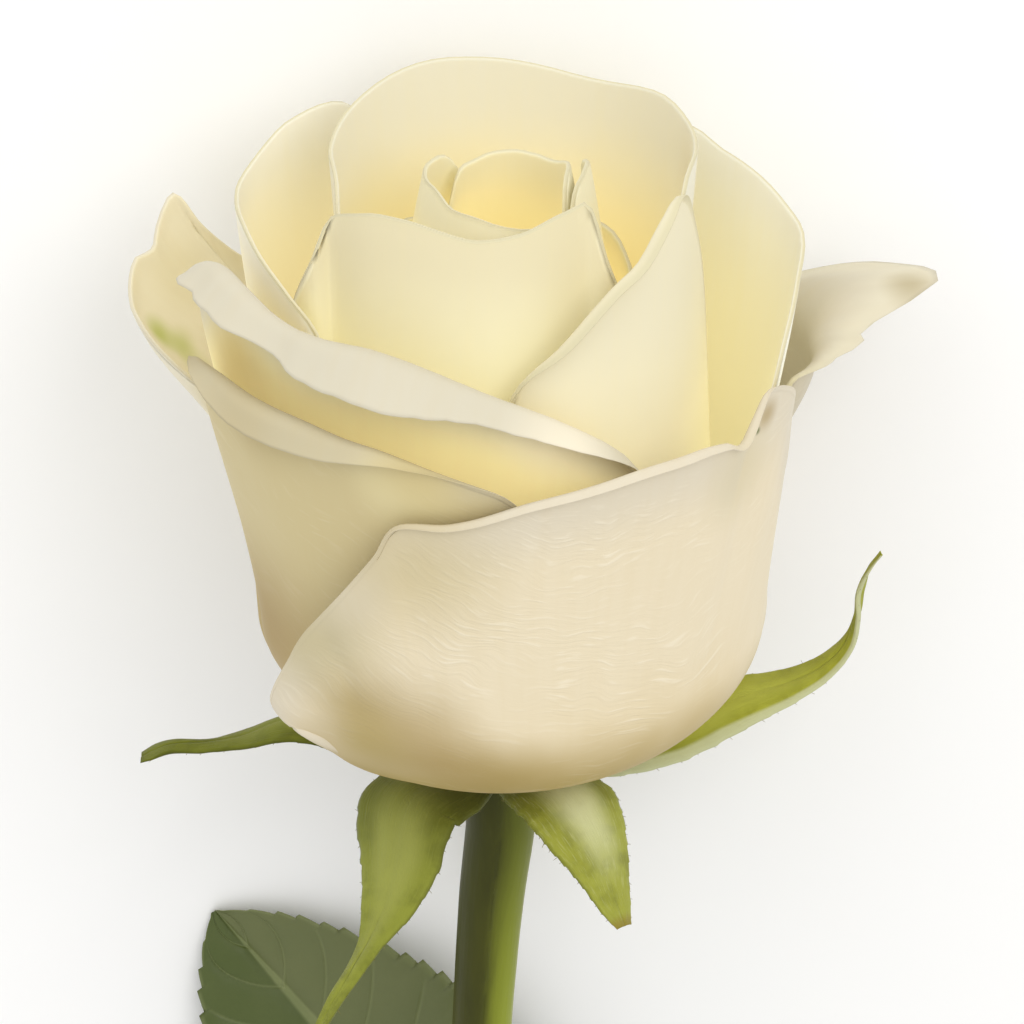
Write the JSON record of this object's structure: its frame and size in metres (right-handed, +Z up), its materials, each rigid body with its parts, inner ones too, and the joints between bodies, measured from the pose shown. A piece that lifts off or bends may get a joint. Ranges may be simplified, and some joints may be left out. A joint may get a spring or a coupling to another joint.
{
  "type": "cut rose",
  "caption": "Half-open ivory-white cut rose with curled outer petals, green sepals, a prickly stem and toothed leaves, lying on its side.",
  "frame": {"origin": "on the table under the middle of the rose's bounding box", "axes": "+Y along the rose from the cut end of the stem to the bloom, +Z up from the table it lies on"},
  "size_m": [0.1027, 0.3016, 0.0549],
  "materials": {
    "white_petal": "soft waxy matte, ivory white, golden where petals overlap",
    "sepal_green": "matte yellow-green with pale inner patches",
    "stem_green": "smooth satin, olive to bright green",
    "leaf_green": "dark green with a faint gloss and paler veins"
  },
  "bodies": {
    "root": {"petal_front": "white_petal", "petal_far_left": "white_petal", "petal_far_right": "white_petal", "petal_left": "white_petal", "petal_behind": "white_petal", "petal_rolled": "white_petal", "petal_front_right": "white_petal", "petal_right": "white_petal", "petal_left_back": "white_petal", "petal_below": "white_petal", "petal_inner_front": "white_petal", "petal_back": "white_petal", "heart": "white_petal", "calyx": "sepal_green", "stem": "stem_green", "leaf_upper": "leaf_green", "leaf_lower": "leaf_green"}
  },
  "joints": []
}
